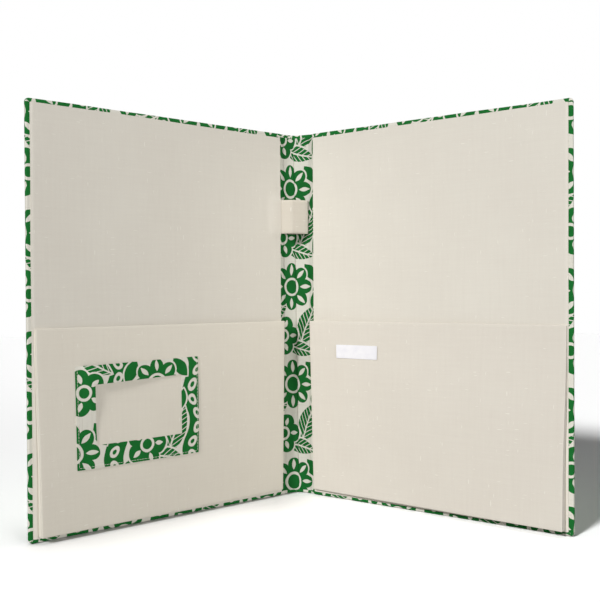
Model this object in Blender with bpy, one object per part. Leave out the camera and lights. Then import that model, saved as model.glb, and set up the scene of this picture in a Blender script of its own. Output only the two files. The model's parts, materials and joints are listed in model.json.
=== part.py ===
# Cloth file folder that stands open like a book, seen along +Y from its inner side
# Lengths are in metres and +Z is up

import math

import bmesh
import bpy
from mathutils import Matrix, Vector

MM = 0.001

# Covers and spine
COVER_HEIGHT = 320 * MM
COVER_WIDTH = 238 * MM  # from the hinge axis to the free edge
COVER_TURN = math.radians(39)  # how far each cover is swung forward from lying flat
COVER_CORNER = 3 * MM
SPINE_WIDTH = 27 * MM  # between the two hinge axes
SPINE_BOW = 6.5 * MM  # how far the spine's middle lies behind the hinge axes
SPINE_BOW_POWER = 1.5  # 2 is a round back, 1 is a sharp fold down the middle
SPINE_STEPS = 14
ACROSS_ROUNDS = 8

# Sheets, each with the clearance that lies between glued layers
CLOTH = 0.4 * MM
BOARD = 1.8 * MM
SPINE_CARD = 0.8 * MM
LINER = 0.4 * MM
LAYER_GAP = 0.3 * MM
HEM = 15 * MM  # width of the cloth turned in over the boards
CLOTH_EDGE_ROUND = 0.5 * MM

# Cloth joints beside the spine
JOINT_ON_COVER = 2 * MM  # hinge cloth between the axis and the cover's cloth
JOINT_ON_SPINE = 1.5 * MM  # hinge cloth between the axis and the spine's cloth
JOINT_END_GAP = 1 * MM  # the hinge cloth stays this far inside the covers' top and foot
BOARD_SETBACK = 4 * MM  # from the axis to the board
LINER_SETBACK = 4.5 * MM  # from the axis to the inner liner
LINER_MARGIN = 3 * MM  # the printed edge left showing round the liner

# Pockets
POCKET_TOP = 154.5 * MM
POCKET_FOOT = 4 * MM
POCKET_ROOM = 6.5 * MM  # between the liner and the pocket's panel
POCKET_SHEET = 0.5 * MM
POCKET_SPINE_SETBACK = 5 * MM
POCKET_EDGE_MARGIN = 5.5 * MM
GUSSET_SHEET = 0.4 * MM
GUSSET_LEAF = 11 * MM
GUSSET_TAB = 7 * MM
GUSSET_FOLD = 0.6 * MM

# Card frame on the front pocket and blank label on the back one
FRAME_WIDTH = 107 * MM
FRAME_HEIGHT = 76 * MM
FRAME_BORDER_SIDE = 16 * MM
FRAME_BORDER_TOP = 15 * MM
FRAME_FROM_AXIS = 98 * MM
FRAME_FOOT = 50.5 * MM
FRAME_CORNER = 0.8 * MM
LABEL_WIDTH = 41 * MM
LABEL_HEIGHT = 11.5 * MM
LABEL_SHEET = 0.2 * MM
LABEL_FROM_AXIS = 33.5 * MM
LABEL_FOOT = 123 * MM

# Pen loop across the upper part of the spine
LOOP_FOOT = 231.5 * MM
LOOP_HEIGHT = 29.5 * MM
LOOP_SHEET = 0.6 * MM
LOOP_PULL_BACK_SIDE = 7 * MM  # how far forward its front face is drawn beside the back cover
LOOP_PULL_FRONT_SIDE = 14 * MM  # and beside the front cover
LOOP_PULL_IN = 3 * MM
LOOP_SIDE_GAP = 0.6 * MM  # to the liners when the folder is shut
LOOP_STEPS = 12
LOOP_TAB = 9 * MM  # the tail's length under the front liner

CUTTER_OVERRUN = 2 * MM
CORNER_SEGMENTS = 5
EDGE_SEGMENTS = 2
EDGE_ANGLE = math.radians(60)  # only edges sharper than this are rounded
FLATTEST_MITRE = 0.3  # cosine of half the sharpest bend that a bent sheet's mitre follows in full
FLATTEST_INSET = 0.5  # the same for an outline moved inwards
PIVOT_DISPLAY = 30 * MM

# Depths through a cover, from its outer face at 0 inwards
BOARD_LOW = CLOTH + LAYER_GAP
BOARD_HIGH = BOARD_LOW + BOARD
HEM_LOW = BOARD_HIGH + LAYER_GAP
HEM_HIGH = HEM_LOW + CLOTH
LINER_LOW = HEM_HIGH + LAYER_GAP
LINER_HIGH = LINER_LOW + LINER
PANEL_LOW = LINER_HIGH + POCKET_ROOM
PANEL_HIGH = PANEL_LOW + POCKET_SHEET
ON_PANEL = PANEL_HIGH + LAYER_GAP
HINGE_DEPTH = CLOTH  # the axis runs in the middle of the doubled cloth

# The box of the whole folder is centred on the origin
PANEL_EDGE = COVER_WIDTH - POCKET_EDGE_MARGIN
PANEL_REACH = PANEL_EDGE * math.sin(COVER_TURN) + (PANEL_HIGH - HINGE_DEPTH) * math.cos(COVER_TURN)
COVER_REACH = COVER_WIDTH * math.sin(COVER_TURN) + (HEM_HIGH - HINGE_DEPTH) * math.cos(COVER_TURN)
BACK_REACH = HINGE_DEPTH + SPINE_BOW
HINGE_Y = (max(PANEL_REACH, COVER_REACH) - BACK_REACH) / 2

FRONT = -1  # the cover at the left, seen from inside
BACK = 1

MATERIALS = {
    "printed_cloth": ((0.08, 0.36, 0.13), 0.88),
    "natural_sheet": ((0.71, 0.67, 0.58), 0.9),
    "grey_board": ((0.33, 0.29, 0.23), 0.92),
    "spine_card": ((0.42, 0.37, 0.29), 0.9),
    "white_label": ((0.82, 0.82, 0.81), 0.7),
}


def clear_scene():
    for obj in list(bpy.data.objects):
        bpy.data.objects.remove(obj)


def make_materials():
    made = {}
    for name, (colour, roughness) in MATERIALS.items():
        material = bpy.data.materials.new(name)
        material.use_nodes = True
        shader = material.node_tree.nodes["Principled BSDF"]
        shader.inputs["Base Color"].default_value = (*colour, 1)
        shader.inputs["Roughness"].default_value = roughness
        shader.inputs["Metallic"].default_value = 0
        made[name] = material
    return made


def make_object(name, bm, material=None, parent=None):
    bmesh.ops.recalc_face_normals(bm, faces=bm.faces)
    mesh = bpy.data.meshes.new(name)
    bm.to_mesh(mesh)
    bm.free()
    if material:
        mesh.materials.append(material)
    obj = bpy.data.objects.new(name, mesh)
    obj.parent = parent
    bpy.context.scene.collection.objects.link(obj)
    return obj


def make_pivot(name, location, turn):
    pivot = bpy.data.objects.new(name, None)
    pivot.empty_display_size = PIVOT_DISPLAY
    pivot.location = location
    pivot.rotation_euler = (0, 0, turn)
    bpy.context.scene.collection.objects.link(pivot)
    return pivot


def cut_away(obj, bm):
    cutter = make_object(obj.name + "_cutter", bm, parent=obj.parent)
    cutter.hide_render = True
    cutter.display_type = "WIRE"
    boolean = obj.modifiers.new("cut", "BOOLEAN")
    boolean.operation = "DIFFERENCE"
    boolean.solver = "EXACT"
    boolean.object = cutter


# Shapes laid out on a cover: a run out from the hinge axis, a depth in from the outer face, and a height


def on_cover(side, run, depth, height):
    """A point in the frame of a cover's pivot."""
    return Vector((side * run, HINGE_DEPTH - depth, height))


def slab(side, runs, depths, heights, corner=0.0, round_near=False):
    """A flat sheet with its far corners rounded, and the near ones too if asked."""
    low = on_cover(side, runs[0], depths[0], heights[0])
    high = on_cover(side, runs[1], depths[1], heights[1])
    bm = bmesh.new()
    bmesh.ops.create_cube(bm, size=1)
    size = [abs(high[axis] - low[axis]) for axis in range(3)]
    bmesh.ops.scale(bm, vec=size, verts=bm.verts)
    bmesh.ops.translate(bm, vec=(low + high) / 2, verts=bm.verts)
    if corner:
        middle = side * (runs[0] + runs[1]) / 2
        through = [edge for edge in bm.edges if is_through_edge(edge)]
        if not round_near:
            through = [edge for edge in through if side * (edge.verts[0].co.x - middle) > 0]
        bmesh.ops.bevel(
            bm,
            geom=through,
            offset=corner,
            offset_type="OFFSET",
            affect="EDGES",
            segments=CORNER_SEGMENTS,
            profile=0.5,
            material=-1,
        )
    return bm


def is_through_edge(edge):
    """True of an edge that runs through the sheet's thickness."""
    step = edge.verts[1].co - edge.verts[0].co
    return abs(step.y) > max(abs(step.x), abs(step.z))


def extrude_outline(points, along):
    """A closed solid from a flat outline of 3D points, pulled along one vector."""
    bm = bmesh.new()
    face = bm.faces.new([bm.verts.new(point) for point in points])
    pulled = bmesh.ops.extrude_face_region(bm, geom=[face])["geom"]
    moved = [item for item in pulled if isinstance(item, bmesh.types.BMVert)]
    bmesh.ops.translate(bm, vec=along, verts=moved)
    return bm


def ribbon(path, thickness):
    """The outline of a bent sheet from the line through its middle, mitred at each bend."""
    points = [Vector(point) for point in path]
    ways = [(b - a).normalized() for a, b in zip(points, points[1:])]
    outer = []
    inner = []
    for index, point in enumerate(points):
        before = ways[max(index - 1, 0)]
        after = ways[min(index, len(ways) - 1)]
        tangent = (before + after).normalized()
        across = Vector((-tangent.y, tangent.x))
        reach = thickness / 2 / max(tangent.dot(after), FLATTEST_MITRE)
        outer.append(point + across * reach)
        inner.append(point - across * reach)
    return outer + inner[::-1]


# Shapes laid out on the spine: across from its middle, and a depth in from its outer face


def spine_point(across, depth):
    """A point of the bowed spine, at a depth measured square to its outer face."""
    half = SPINE_WIDTH / 2
    share = min(abs(across) / half, 1)
    back = HINGE_DEPTH + SPINE_BOW * (1 - share**SPINE_BOW_POWER)
    slope = -SPINE_BOW * SPINE_BOW_POWER / half * share ** (SPINE_BOW_POWER - 1)
    slope = math.copysign(slope, -across)
    inward = Vector((slope, -1)).normalized()
    return Vector((across, back)) + inward * depth


def spine_band(reach, depths, heights):
    """A bowed sheet from one side of the spine to the other, between two depths."""
    spread = [reach * (2 * step / SPINE_STEPS - 1) for step in range(SPINE_STEPS + 1)]
    outer = [spine_point(across, depths[0]) for across in spread]
    inner = [spine_point(across, depths[1]) for across in spread]
    outline = [in_world(point, heights[0]) for point in outer + inner[::-1]]
    return extrude_outline(outline, Vector((0, 0, heights[1] - heights[0])))


def across_under(x, depth):
    """How far across the spine's outer face lies the point that is at x when seen at a depth."""
    across = x
    for _ in range(ACROSS_ROUNDS):
        across += x - spine_point(across, depth).x
    return across


def in_world(point, height):
    return Vector((point.x, point.y + HINGE_Y, height))


def cover_to_spine(side, run, depth):
    """The plan point of a cover at rest, in the frame of the spine."""
    turned = Matrix.Rotation(-side * COVER_TURN, 2)
    point = turned @ Vector((side * run, HINGE_DEPTH - depth))
    return Vector((point.x + side * SPINE_WIDTH / 2, point.y))


# The spine


def make_spine(materials):
    reach = SPINE_WIDTH / 2 - JOINT_ON_SPINE - LAYER_GAP
    inside = (CLOTH, COVER_HEIGHT - CLOTH)
    card_low = CLOTH + LAYER_GAP
    card_high = card_low + SPINE_CARD
    fold_low = card_high + LAYER_GAP
    fold_high = fold_low + CLOTH
    lining_low = fold_high + LAYER_GAP

    cloth = make_object(
        "spine_cloth",
        spine_band(reach, (0, fold_high), (0, COVER_HEIGHT)),
        materials["printed_cloth"],
    )
    wider = reach + CUTTER_OVERRUN
    cut_away(cloth, spine_band(wider, (CLOTH, fold_low), inside))
    window = (HEM, COVER_HEIGHT - HEM)
    cut_away(cloth, spine_band(wider, (CLOTH + LAYER_GAP, fold_high + CUTTER_OVERRUN), window))

    card_ends = (CLOTH + LAYER_GAP, COVER_HEIGHT - CLOTH - LAYER_GAP)
    make_object(
        "spine_card",
        spine_band(reach, (card_low, card_high), card_ends),
        materials["spine_card"],
    )
    lining_ends = (LINER_MARGIN, COVER_HEIGHT - LINER_MARGIN)
    make_object(
        "spine_lining",
        spine_band(reach, (lining_low, lining_low + CLOTH), lining_ends),
        materials["printed_cloth"],
    )
    return lining_low + CLOTH


def make_pen_loop(lining_face, materials):
    """A flat tube of cloth that follows the lining behind and stands proud in front."""
    behind = lining_face + LAYER_GAP
    reach = across_under(SPINE_WIDTH / 2 - (LINER_HIGH - HINGE_DEPTH) - LOOP_SIDE_GAP, behind)
    steps = range(LOOP_STEPS + 1)
    back = [spine_point(reach * (2 * step / LOOP_STEPS - 1), behind) for step in steps]
    start = back[-1]
    end = back[0]
    # The front face swells out near the front cover and falls away towards the back cover
    start_pull = start + Vector((-LOOP_PULL_IN, -LOOP_PULL_BACK_SIDE))
    end_pull = end + Vector((0, -LOOP_PULL_FRONT_SIDE))
    front = [bezier(start, start_pull, end_pull, end, step / LOOP_STEPS) for step in steps]
    middle = back + front[1:-1]
    shrunk = inset_outline(middle, LOOP_SHEET)
    tall = Vector((0, 0, LOOP_HEIGHT))
    outside = extrude_outline([in_world(point, LOOP_FOOT) for point in middle], tall)
    loop = make_object("pen_loop", outside, materials["natural_sheet"])
    past = Vector((0, 0, LOOP_HEIGHT + 2 * CUTTER_OVERRUN))
    bore = [in_world(point, LOOP_FOOT - CUTTER_OVERRUN) for point in shrunk]
    cut_away(loop, extrude_outline(bore, past))
    return end


def bezier(a, b, c, d, t):
    u = 1 - t
    return a * u**3 + b * 3 * u * u * t + c * 3 * u * t * t + d * t**3


def inset_outline(points, wall):
    """A smaller outline, every side moved in by the wall, for a closed loop run anticlockwise or clockwise."""
    count = len(points)
    area = sum(points[i - 1].cross(points[i]) for i in range(count))
    turn = 1 if area > 0 else -1
    moved = []
    for index, point in enumerate(points):
        before = (point - points[index - 1]).normalized()
        after = (points[(index + 1) % count] - point).normalized()
        tangent = (before + after).normalized()
        inward = Vector((-tangent.y, tangent.x)) * turn
        moved.append(point + inward * wall / max(tangent.dot(after), FLATTEST_INSET))
    return moved


def make_loop_tail(loop_end, materials):
    """The strip that leaves the pen loop and is glued down under the front liner's edge."""
    depth = (BOARD_HIGH + LINER_LOW) / 2
    tab_far = cover_to_spine(FRONT, LINER_SETBACK + LOOP_TAB, depth)
    tab_near = cover_to_spine(FRONT, BOARD_SETBACK, depth)
    meeting = loop_end + Vector((-LAYER_GAP - LOOP_SHEET / 2, -LOOP_SHEET))
    outline = ribbon([tab_far, tab_near, meeting], CLOTH)
    base = [in_world(point, LOOP_FOOT) for point in outline]
    make_object(
        "pen_loop_tail",
        extrude_outline(base, Vector((0, 0, LOOP_HEIGHT))),
        materials["natural_sheet"],
    )


# One cover and what is on it


def make_cover(side, word, pivot, materials):
    near = JOINT_ON_COVER + LAYER_GAP
    cloth = make_object(
        word + "_cover_cloth",
        slab(side, (near, COVER_WIDTH), (0, HEM_HIGH), (0, COVER_HEIGHT), COVER_CORNER),
        materials["printed_cloth"],
        pivot,
    )
    edge = cloth.modifiers.new("soft edge", "BEVEL")
    edge.width = CLOTH_EDGE_ROUND
    edge.segments = EDGE_SEGMENTS
    edge.limit_method = "ANGLE"
    edge.angle_limit = EDGE_ANGLE
    open_side = near - CUTTER_OVERRUN
    inside = slab(
        side,
        (open_side, COVER_WIDTH - CLOTH),
        (CLOTH, HEM_LOW),
        (CLOTH, COVER_HEIGHT - CLOTH),
        COVER_CORNER - CLOTH,
    )
    cut_away(cloth, inside)
    window = slab(
        side,
        (open_side, COVER_WIDTH - HEM),
        (BOARD_LOW, HEM_HIGH + CUTTER_OVERRUN),
        (HEM, COVER_HEIGHT - HEM),
    )
    cut_away(cloth, window)

    inset = CLOTH + LAYER_GAP
    make_object(
        word + "_board",
        slab(
            side,
            (BOARD_SETBACK, COVER_WIDTH - inset),
            (BOARD_LOW, BOARD_HIGH),
            (inset, COVER_HEIGHT - inset),
            COVER_CORNER - inset,
        ),
        materials["grey_board"],
        pivot,
    )
    make_object(
        word + "_liner",
        slab(
            side,
            (LINER_SETBACK, COVER_WIDTH - LINER_MARGIN),
            (LINER_LOW, LINER_HIGH),
            (LINER_MARGIN, COVER_HEIGHT - LINER_MARGIN),
        ),
        materials["natural_sheet"],
        pivot,
    )


def make_hinge_cloth(side, word, materials):
    """The doubled cloth that bends between the spine and a cover."""
    depth = HINGE_DEPTH
    on_spine = SPINE_WIDTH / 2 - JOINT_ON_SPINE
    path = [
        spine_point(side * on_spine, depth),
        Vector((side * SPINE_WIDTH / 2, 0)),
        cover_to_spine(side, JOINT_ON_COVER, depth),
    ]
    outline = ribbon(path, 2 * CLOTH)
    base = [in_world(point, JOINT_END_GAP) for point in outline]
    make_object(
        word + "_hinge_cloth",
        extrude_outline(base, Vector((0, 0, COVER_HEIGHT - 2 * JOINT_END_GAP))),
        materials["printed_cloth"],
    )


def make_pocket(side, word, pivot, materials):
    make_object(
        word + "_pocket_panel",
        slab(
            side,
            (POCKET_SPINE_SETBACK, PANEL_EDGE),
            (PANEL_LOW, PANEL_HIGH),
            (POCKET_FOOT, POCKET_TOP),
        ),
        materials["natural_sheet"],
        pivot,
    )
    fold = gusset_path()
    sides_foot = POCKET_FOOT + GUSSET_LEAF + GUSSET_SHEET + LAYER_GAP
    tall = Vector((0, 0, POCKET_TOP - sides_foot))
    for place, edge, inward in (
        ("outer", PANEL_EDGE, -1),
        ("spine", POCKET_SPINE_SETBACK, 1),
    ):
        outline = [
            on_cover(side, edge + inward * point.x, point.y, sides_foot) for point in fold
        ]
        make_object(
            f"{word}_pocket_{place}_gusset",
            extrude_outline(outline, tall),
            materials["natural_sheet"],
            pivot,
        )
    outline = [
        on_cover(side, POCKET_SPINE_SETBACK, point.y, POCKET_FOOT + point.x) for point in fold
    ]
    across = Vector((side * (PANEL_EDGE - POCKET_SPINE_SETBACK), 0, 0))
    make_object(
        word + "_pocket_bottom_gusset",
        extrude_outline(outline, across),
        materials["natural_sheet"],
        pivot,
    )


def gusset_path():
    """The folded sheet behind a pocket's edge, as a distance in from the edge and a depth."""
    half = GUSSET_SHEET / 2
    low = LINER_HIGH + LAYER_GAP + half
    high = PANEL_LOW - LAYER_GAP - half
    middle = (low + high) / 2
    path = [
        (GUSSET_TAB, low),
        (half, low),
        (half, low + GUSSET_FOLD),
        (GUSSET_LEAF, middle - GUSSET_FOLD / 2),
        (GUSSET_LEAF, middle + GUSSET_FOLD / 2),
        (half, high - GUSSET_FOLD),
        (half, high),
        (GUSSET_TAB, high),
    ]
    return ribbon(path, GUSSET_SHEET)


def make_card_frame(pivot, materials):
    far = FRAME_FROM_AXIS + FRAME_WIDTH
    top = FRAME_FOOT + FRAME_HEIGHT
    frame = make_object(
        "card_frame",
        slab(
            FRONT,
            (FRAME_FROM_AXIS, far),
            (ON_PANEL, ON_PANEL + CLOTH),
            (FRAME_FOOT, top),
            FRAME_CORNER,
            round_near=True,
        ),
        materials["printed_cloth"],
        pivot,
    )
    window = slab(
        FRONT,
        (FRAME_FROM_AXIS + FRAME_BORDER_SIDE, far - FRAME_BORDER_SIDE),
        (PANEL_HIGH, ON_PANEL + CLOTH + CUTTER_OVERRUN),
        (FRAME_FOOT + FRAME_BORDER_TOP, top - FRAME_BORDER_TOP),
    )
    cut_away(frame, window)


def make_label(pivot, materials):
    make_object(
        "blank_label",
        slab(
            BACK,
            (LABEL_FROM_AXIS, LABEL_FROM_AXIS + LABEL_WIDTH),
            (ON_PANEL, ON_PANEL + LABEL_SHEET),
            (LABEL_FOOT, LABEL_FOOT + LABEL_HEIGHT),
        ),
        materials["white_label"],
        pivot,
    )


def main():
    clear_scene()
    materials = make_materials()
    lining_face = make_spine(materials)
    loop_end = make_pen_loop(lining_face, materials)
    make_loop_tail(loop_end, materials)
    for side, word in ((FRONT, "front"), (BACK, "back")):
        axis = Vector((side * SPINE_WIDTH / 2, HINGE_Y, 0))
        pivot = make_pivot(word + "_cover_pivot", axis, -side * COVER_TURN)
        make_hinge_cloth(side, word, materials)
        make_cover(side, word, pivot, materials)
        make_pocket(side, word, pivot, materials)
        if side == FRONT:
            make_card_frame(pivot, materials)
        else:
            make_label(pivot, materials)


main()
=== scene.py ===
import json
import math

import bmesh
import bpy
import numpy as np
from mathutils import Matrix, Vector, noise


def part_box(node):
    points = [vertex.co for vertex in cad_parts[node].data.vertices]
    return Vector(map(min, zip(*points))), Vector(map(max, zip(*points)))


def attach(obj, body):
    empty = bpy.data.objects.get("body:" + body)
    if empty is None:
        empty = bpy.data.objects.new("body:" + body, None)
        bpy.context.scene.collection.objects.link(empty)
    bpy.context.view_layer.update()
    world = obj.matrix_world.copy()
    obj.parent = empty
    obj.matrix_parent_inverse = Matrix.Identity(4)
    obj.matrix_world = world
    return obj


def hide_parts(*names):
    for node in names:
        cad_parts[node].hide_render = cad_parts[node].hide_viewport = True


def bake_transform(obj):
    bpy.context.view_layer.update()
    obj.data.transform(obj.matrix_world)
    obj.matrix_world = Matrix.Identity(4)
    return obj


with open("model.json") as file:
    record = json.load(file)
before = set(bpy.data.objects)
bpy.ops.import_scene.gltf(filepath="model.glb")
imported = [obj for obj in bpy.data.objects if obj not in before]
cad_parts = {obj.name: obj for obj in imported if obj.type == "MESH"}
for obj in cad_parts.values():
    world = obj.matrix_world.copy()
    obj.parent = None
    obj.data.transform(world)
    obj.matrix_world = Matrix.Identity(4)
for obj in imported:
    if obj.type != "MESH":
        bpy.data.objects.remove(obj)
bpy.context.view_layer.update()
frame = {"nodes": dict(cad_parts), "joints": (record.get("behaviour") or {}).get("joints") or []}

mm = 0.001
far = 10  # a limit this far off isn't met
sides = {"front": -1, "back": 1}  # the front cover is the one at the left

# Where things are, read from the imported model

joints = {joint["name"]: joint for joint in frame["joints"]}
axisX, axisY = joints["back_cover_hinge"]["pos_m"][:2]
inward = joints["front_pocket_spread"]["axis"]  # square to the front cover
turn = math.atan2(inward[0], -inward[1])  # how far each cover is swung forward
alongX, alongY = math.cos(turn), math.sin(turn)


def fromAxis(side, point):  # a point as its distance and depth from the hinge axis, square to the cover
    across, ahead = side * point.x - axisX, axisY - point.y
    return across * alongX + ahead * alongY, ahead * alongX - across * alongY


def spanOf(node, side):  # lowest and highest run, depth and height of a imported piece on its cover
    laid = [(*fromAxis(side, v.co), v.co.z) for v in frame["nodes"][node].data.vertices]
    return [min(part) for part in zip(*laid)], [max(part) for part in zip(*laid)]


coverLow, coverHigh = spanOf("front_cover_cloth", -1)
clothDeep = -coverLow[1]  # the axis lies this deep in the doubled cloth
cover = {
    "width": coverHigh[0],
    "height": coverHigh[2],
    "thick": coverHigh[1] + clothDeep,
    "jointHalf": 2 * mm,  # the cloth joint bends this far to each side of its axis
    "cornerRound": 3 * mm,
    "rollRound": 0.8 * mm,  # the cloth goes round the board's edge on this radius
    "hem": 15 * mm,
    "turnIn": 17 * mm,  # the hem and its roll, laid flat
    "cloth": 0.4 * mm,
    "printShift": 13.6 * mm,
}
spine = {
    "bow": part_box("spine_cloth")[1].y - axisY - clothDeep,
    "bowPower": 1.5,  # between a round back and a sharp fold
    "thick": 2.2 * mm,  # outer cloth, card and turned-in cloth
    "joint": 1.3 * mm,  # the same beside the boards, where only cloth is left
    "groove": 0.45 * mm,
    "creaseTop": -2.4 * mm,  # the soft fold down the middle leans a little
    "creaseFoot": 1.1 * mm,
}


def smooth(value):
    value = min(max(value, 0), 1)
    return value * value * (3 - 2 * value)


def shareOf(value, low, high):  # how far a value is from low to high, held between 0 and 1
    return min(max((value - low) / (high - low), 0), 1)


def between(ends, share):
    return ends[0] + (ends[1] - ends[0]) * share


def reachAlong(x, y):  # length of a line in plan up to each of its points
    return np.concatenate([[0], np.cumsum(np.hypot(np.diff(x), np.diff(y)))])


def offLine(line, run, depth):  # the place a depth off a line at a run along it
    x, y, wayX, wayY = (np.interp(run, line[0], part) for part in line[1:])
    long = math.hypot(wayX, wayY)
    return x + wayY / long * depth, y - wayX / long * depth


def onCover(side, run, depth, height):
    depth -= clothDeep
    return Vector((
        side * (axisX + run * alongX - depth * alongY),
        axisY - run * alongY - depth * alongX,
        height,
    ))


# The outer cloth's line in plan, from the fold at the spine's middle to the free edge

spineX = np.linspace(0, axisX - 0.7 * mm, 40)
spineY = axisY + clothDeep + spine["bow"] * (1 - (spineX / axisX) ** spine["bowPower"])
coverRuns = np.concatenate([np.linspace(0.6, 10, 20), np.linspace(12, 260, 60)]) * mm
coverLine = [onCover(1, run, 0, 0) for run in coverRuns]
planX = np.concatenate([spineX, [p.x for p in coverLine]])
planY = np.concatenate([spineY, [p.y for p in coverLine]])
planT = reachAlong(planX, planY)
planT -= planT[len(spineX)] - coverRuns[0]  # 0 at the hinge axis, below 0 on the spine
plan = (planT, planX, planY, np.gradient(planX, planT), np.gradient(planY, planT))
for way in plan[3:]:
    way[0] = way[1]
halfSpine = -planT[0]  # cloth between the fold and the hinge axis


def bell(value, width):
    return math.exp(-((value / width) ** 2))


def groove(run):
    return spine["groove"] * bell(run - 0.8 * mm, 2 * mm)


def stack(run):  # thickness of cloth, board and turned-in cloth at a distance from the hinge axis
    onBoard = smooth((run - 1 * mm) / (2.6 * mm))
    onCard = smooth((-0.6 * mm - run) / (1.7 * mm))
    return spine["joint"] + (cover["thick"] - spine["joint"]) * onBoard + (spine["thick"] - spine["joint"]) * onCard


def onCloth(side, run, depth, height):  # like onCover, and round the spine where run is below 0
    x, y = offLine(plan, run, depth)
    lean = spine["creaseFoot"] + (spine["creaseTop"] - spine["creaseFoot"]) * height / cover["height"]
    return Vector((side * x + lean * max(1 - x / axisX, 0), y, height))


# How pieces are made: flat in (run, depth, height), then bent into place


def startSheet(columns, rows, rounding, limits=None, inset=0, sharp=()):
    # A flat grid in the (run, height) plane with rounded outer corners. limits are left, right, foot, top.
    left, right, foot, top = limits = limits or (columns[0], columns[-1], rows[0], rows[-1])
    bm = bmesh.new()
    bm.loops.layers.uv.new("UVMap")
    for layer in ("flat", "away"):
        bm.verts.layers.float_vector.new(layer)
    flat = bm.verts.layers.float_vector["flat"]
    nx, nz = len(columns) - 1, len(rows) - 1
    bmesh.ops.create_grid(bm, x_segments=nx, y_segments=nz, size=0.5)
    for v in bm.verts:
        run = columns[round((v.co.x + 0.5) * nx)]
        height = rows[round((v.co.y + 0.5) * nz)]
        v.co = (run, 0, height)
    if rounding > inset:
        for run, height in ((left, foot), (left, top), (right, foot), (right, top)):
            if (run, height) in sharp or abs(run) == far:
                continue
            insideRun = run + (inset if run == left else -inset)
            insideHeight = height + (inset if height == foot else -inset)
            found = [v for v in bm.verts if (v.co - Vector((insideRun, 0, insideHeight))).length < 1e-6]
            bmesh.ops.bevel(
                bm, geom=found, offset=rounding - inset, offset_type="OFFSET", segments=4,
                profile=0.5, affect="VERTICES", material=-1,
            )
    for v in bm.verts:
        v[flat] = v.co
    setAway(bm, limits, rounding)
    return bm


def clampInto(point, limits, reach):
    left, right, foot, top = limits
    run, height = max(point.x, left + reach), max(point.z, foot + reach)
    return Vector((min(run, right - reach), 0, min(height, top - reach)))


def outwards(point, limits, rounding):
    off = Vector((point.x, 0, point.z)) - clampInto(point, limits, rounding)
    return off.normalized() if off.length > 1e-7 else Vector()


def setAway(bm, limits, rounding):  # each vertex keeps the way its edge will be drawn
    away = bm.verts.layers.float_vector["away"]
    for v in bm.verts:
        v[away] = outwards(v.co, limits, rounding)


def rim(bm, test):
    return [e for e in bm.edges if e.is_boundary and all(test(v.co) for v in e.verts)]


def turnIn(bm, edges, profile, limits, rounding):
    # Draws a sheet's edge on and over: profile is a list of (inset, depth, cloth used so far)
    flat = bm.verts.layers.float_vector["flat"]
    away = bm.verts.layers.float_vector["away"]
    before = 0
    for inset, depth, used in profile:
        grown = bmesh.ops.extrude_edge_only(bm, edges=edges)["geom"]
        edges = [item for item in grown if isinstance(item, bmesh.types.BMEdge)]
        for v in {v for e in edges for v in e.verts}:
            out = v[away]
            start = v[flat] - out * before
            rimPoint = clampInto(start, limits, rounding) + out * rounding
            held = clampInto(rimPoint, limits, max(rounding, inset))
            v.co = held + out * max(rounding - inset, 0)
            v.co.y = depth
            v[flat] = start + out * used
        before = used


def layFlatUv(bm, side=1, shift=(0, 0)):  # one unit of the UV map is one metre of cloth
    flat = bm.verts.layers.float_vector["flat"]
    uv = bm.loops.layers.uv["UVMap"]
    for face in bm.faces:
        for loop in face.loops:
            loop[uv].uv = (side * loop.vert[flat][0] + shift[0], loop.vert[flat][2] + shift[1])


def addObject(name, data):
    added = bpy.data.objects.new(name, data)
    bpy.context.scene.collection.objects.link(added)
    return added


def addMesh(bm, name, material):
    mesh = bpy.data.meshes.new(name)
    bm.to_mesh(mesh)
    bm.free()
    mesh.materials.append(material)
    return addObject(name, mesh)


def finishPiece(bm, name, thick, material, creaseAngle=40):
    bmesh.ops.remove_doubles(bm, verts=bm.verts, dist=0.004 * mm)
    bmesh.ops.recalc_face_normals(bm, faces=bm.faces)
    piece = addMesh(bm, name, material)
    mesh = piece.data
    for polygon in mesh.polygons:
        polygon.use_smooth = True
    if thick:
        wall = piece.modifiers.new("thickness", "SOLIDIFY")
        wall.thickness, wall.offset = thick, 0
        wall.use_even_offset, wall.thickness_clamp = True, 1.5
        depsgraph = bpy.context.evaluated_depsgraph_get()
        walled = bpy.data.meshes.new_from_object(piece.evaluated_get(depsgraph))
        piece.modifiers.clear()
        piece.data = walled
        reach = 0.75 * thick
        for v in walled.vertices:  # at a tight fold the wall would be thrown far out
            start = mesh.vertices[v.index % len(mesh.vertices)].co
            off = v.co - start
            if off.length > reach:
                v.co = start + off * (reach / off.length)
    piece.data.set_sharp_from_angle(angle=math.radians(creaseAngle))
    return piece


def steps(start, *parts):  # evenly spaced places from start up to each (end, size) in turn
    places = [start]
    for end, size in parts:
        count = max(round(abs(end - start) / size), 1)
        places += [start + (end - start) * i / count for i in range(1, count + 1)]
        start = end
    return places


def usedUp(points, last):  # each (inset, depth) with the cloth used up to it
    profile, used = [], 0
    for point in points:
        used += math.dist(point, last)
        profile.append((*point, used))
        last = point
    return profile


def ripple(run, height, size, high, seed):  # slow unevenness, as in any hand-glued sheet
    return high * noise.noise(Vector((run / size, height / size, seed)))


# Materials

waveMetre = 0.314159  # at this scale a wave texture repeats once a metre


def linear(hexColour):
    parts = [int(hexColour[i:i + 2], 16) / 255 for i in (1, 3, 5)]
    return [*(p / 12.92 if p <= 0.04045 else ((p + 0.055) / 1.055) ** 2.4 for p in parts), 1]


def plug(node, links):  # each socket takes another node's output, a value, or a colour in hex
    for socket, value in links.items():
        if isinstance(value, bpy.types.NodeSocket):
            node.id_data.links.new(value, node.inputs[socket])
        else:
            node.inputs[socket].default_value = linear(value) if isinstance(value, str) else value


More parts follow.
